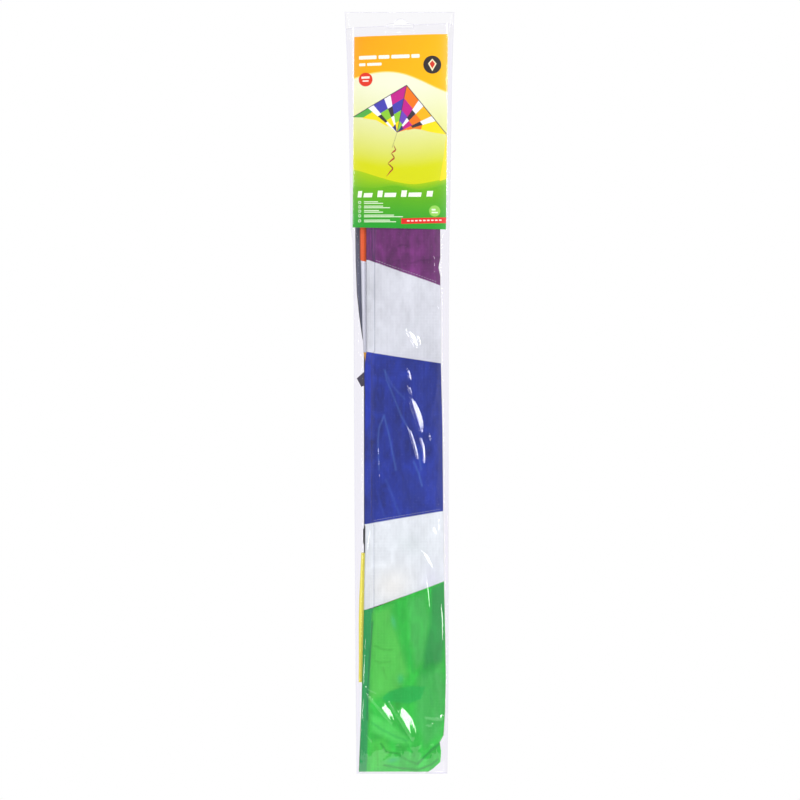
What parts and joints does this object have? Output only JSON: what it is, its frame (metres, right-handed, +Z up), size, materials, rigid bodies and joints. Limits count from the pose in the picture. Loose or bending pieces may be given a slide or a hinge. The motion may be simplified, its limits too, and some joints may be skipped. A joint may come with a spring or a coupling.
{
  "type": "packed delta kite",
  "caption": "Folded single-line delta kite with a colour-block sail, rods and keel, packed in a long clear hanging film sleeve behind a printed header card.",
  "frame": {"origin": "middle of the bottom of the hanging pack's bounding box", "axes": "+Z up towards the hang slot, +X to the right seen from the card side, -Y out of the card side, +Y out of the back film"},
  "size_m": [0.1634, 0.0226, 1.1475],
  "materials": {
    "clear_film": "clear glossy film",
    "printed_card": "glossy printed card",
    "cloth_purple": "ripstop",
    "cloth_white": "ripstop",
    "cloth_blue": "ripstop",
    "cloth_green": "ripstop",
    "cloth_orange": "ripstop",
    "cloth_gold": "ripstop",
    "cloth_yellow": "ripstop",
    "cloth_magenta": "ripstop",
    "cloth_violet": "ripstop",
    "cloth_grey": "ripstop",
    "webbing_black": "woven webbing",
    "eyelet_brass": "polished",
    "rod_black": "fibreglass rod",
    "vinyl_black": "soft vinyl"
  },
  "bodies": {
    "sleeve": {"sleeve_back_film": "clear_film", "sleeve_front_film": "clear_film"},
    "header_card": {"header_card": "printed_card"},
    "kite": {"left_panel_purple": "cloth_purple", "left_panel_white_upper": "cloth_white", "left_panel_blue": "cloth_blue", "left_panel_white_lower": "cloth_white", "left_panel_green": "cloth_green", "right_panel_orange": "cloth_orange", "right_panel_white_upper": "cloth_white", "right_panel_gold": "cloth_gold", "right_panel_white_lower": "cloth_white", "right_panel_yellow": "cloth_yellow", "left_middle_row": "cloth_white", "left_inner_row": "cloth_magenta", "right_inner_row": "cloth_violet", "right_middle_row": "cloth_gold", "left_wing_tip": "cloth_green", "right_wing_tip": "cloth_yellow", "left_spar_tunnel": "cloth_white", "right_spar_tunnel_upper": "cloth_orange", "right_spar_tunnel_lower": "cloth_yellow", "spine_tunnel_upper": "cloth_grey", "spine_tunnel_lower": "cloth_grey", "nose_patch": "webbing_black", "tail_patch": "webbing_black", "keel_panel": "cloth_grey", "keel_eyelet": "eyelet_brass", "spine_spar": "rod_black", "spine_nose_cap": "vinyl_black", "spine_tail_cap": "vinyl_black"},
    "left_spar": {"left_leading_edge_spar": "rod_black", "left_spar_nose_cap": "vinyl_black", "left_spar_tip_cap": "vinyl_black"},
    "right_spar": {"right_leading_edge_spar": "rod_black", "right_spar_nose_cap": "vinyl_black", "right_spar_tip_cap": "vinyl_black"},
    "spreader": {"spreader_rod": "rod_black", "spreader_upper_cap": "vinyl_black", "spreader_lower_cap": "vinyl_black"},
    "left_connector": {"left_connector_fitting": "vinyl_black"},
    "right_connector": {"right_connector_fitting": "vinyl_black"}
  },
  "joints": [
    {"name": "card_slide", "type": "slide", "parent": "sleeve", "child": "header_card", "axis": [0, 0, 1], "range_m": [0, 0.32]},
    {"name": "kite_slide", "type": "slide", "parent": "sleeve", "child": "kite", "axis": [0, 0, 1], "range_m": [0, 1.13]},
    {"name": "left_spar_slide", "type": "slide", "parent": "kite", "child": "left_spar", "axis": [0, 0, 1], "range_m": [0, 0.012]},
    {"name": "right_spar_slide", "type": "slide", "parent": "kite", "child": "right_spar", "axis": [0, 0, 1], "range_m": [0, 0.012]},
    {"name": "spreader_slide", "type": "slide", "parent": "kite", "child": "spreader", "axis": [0, 0, 1], "range_m": [0, 1.1]},
    {"name": "left_connector_turn", "type": "hinge", "parent": "left_spar", "child": "left_connector", "pos_m": [-0.04475, -0.0059, 0.5935], "axis": [0, 0, 1], "range_deg": [-6, 6]},
    {"name": "right_connector_turn", "type": "hinge", "parent": "right_spar", "child": "right_connector", "pos_m": [-0.0516, 0.00085, 0.3575], "axis": [0, 0, 1], "range_deg": [-6, 6]}
  ]
}
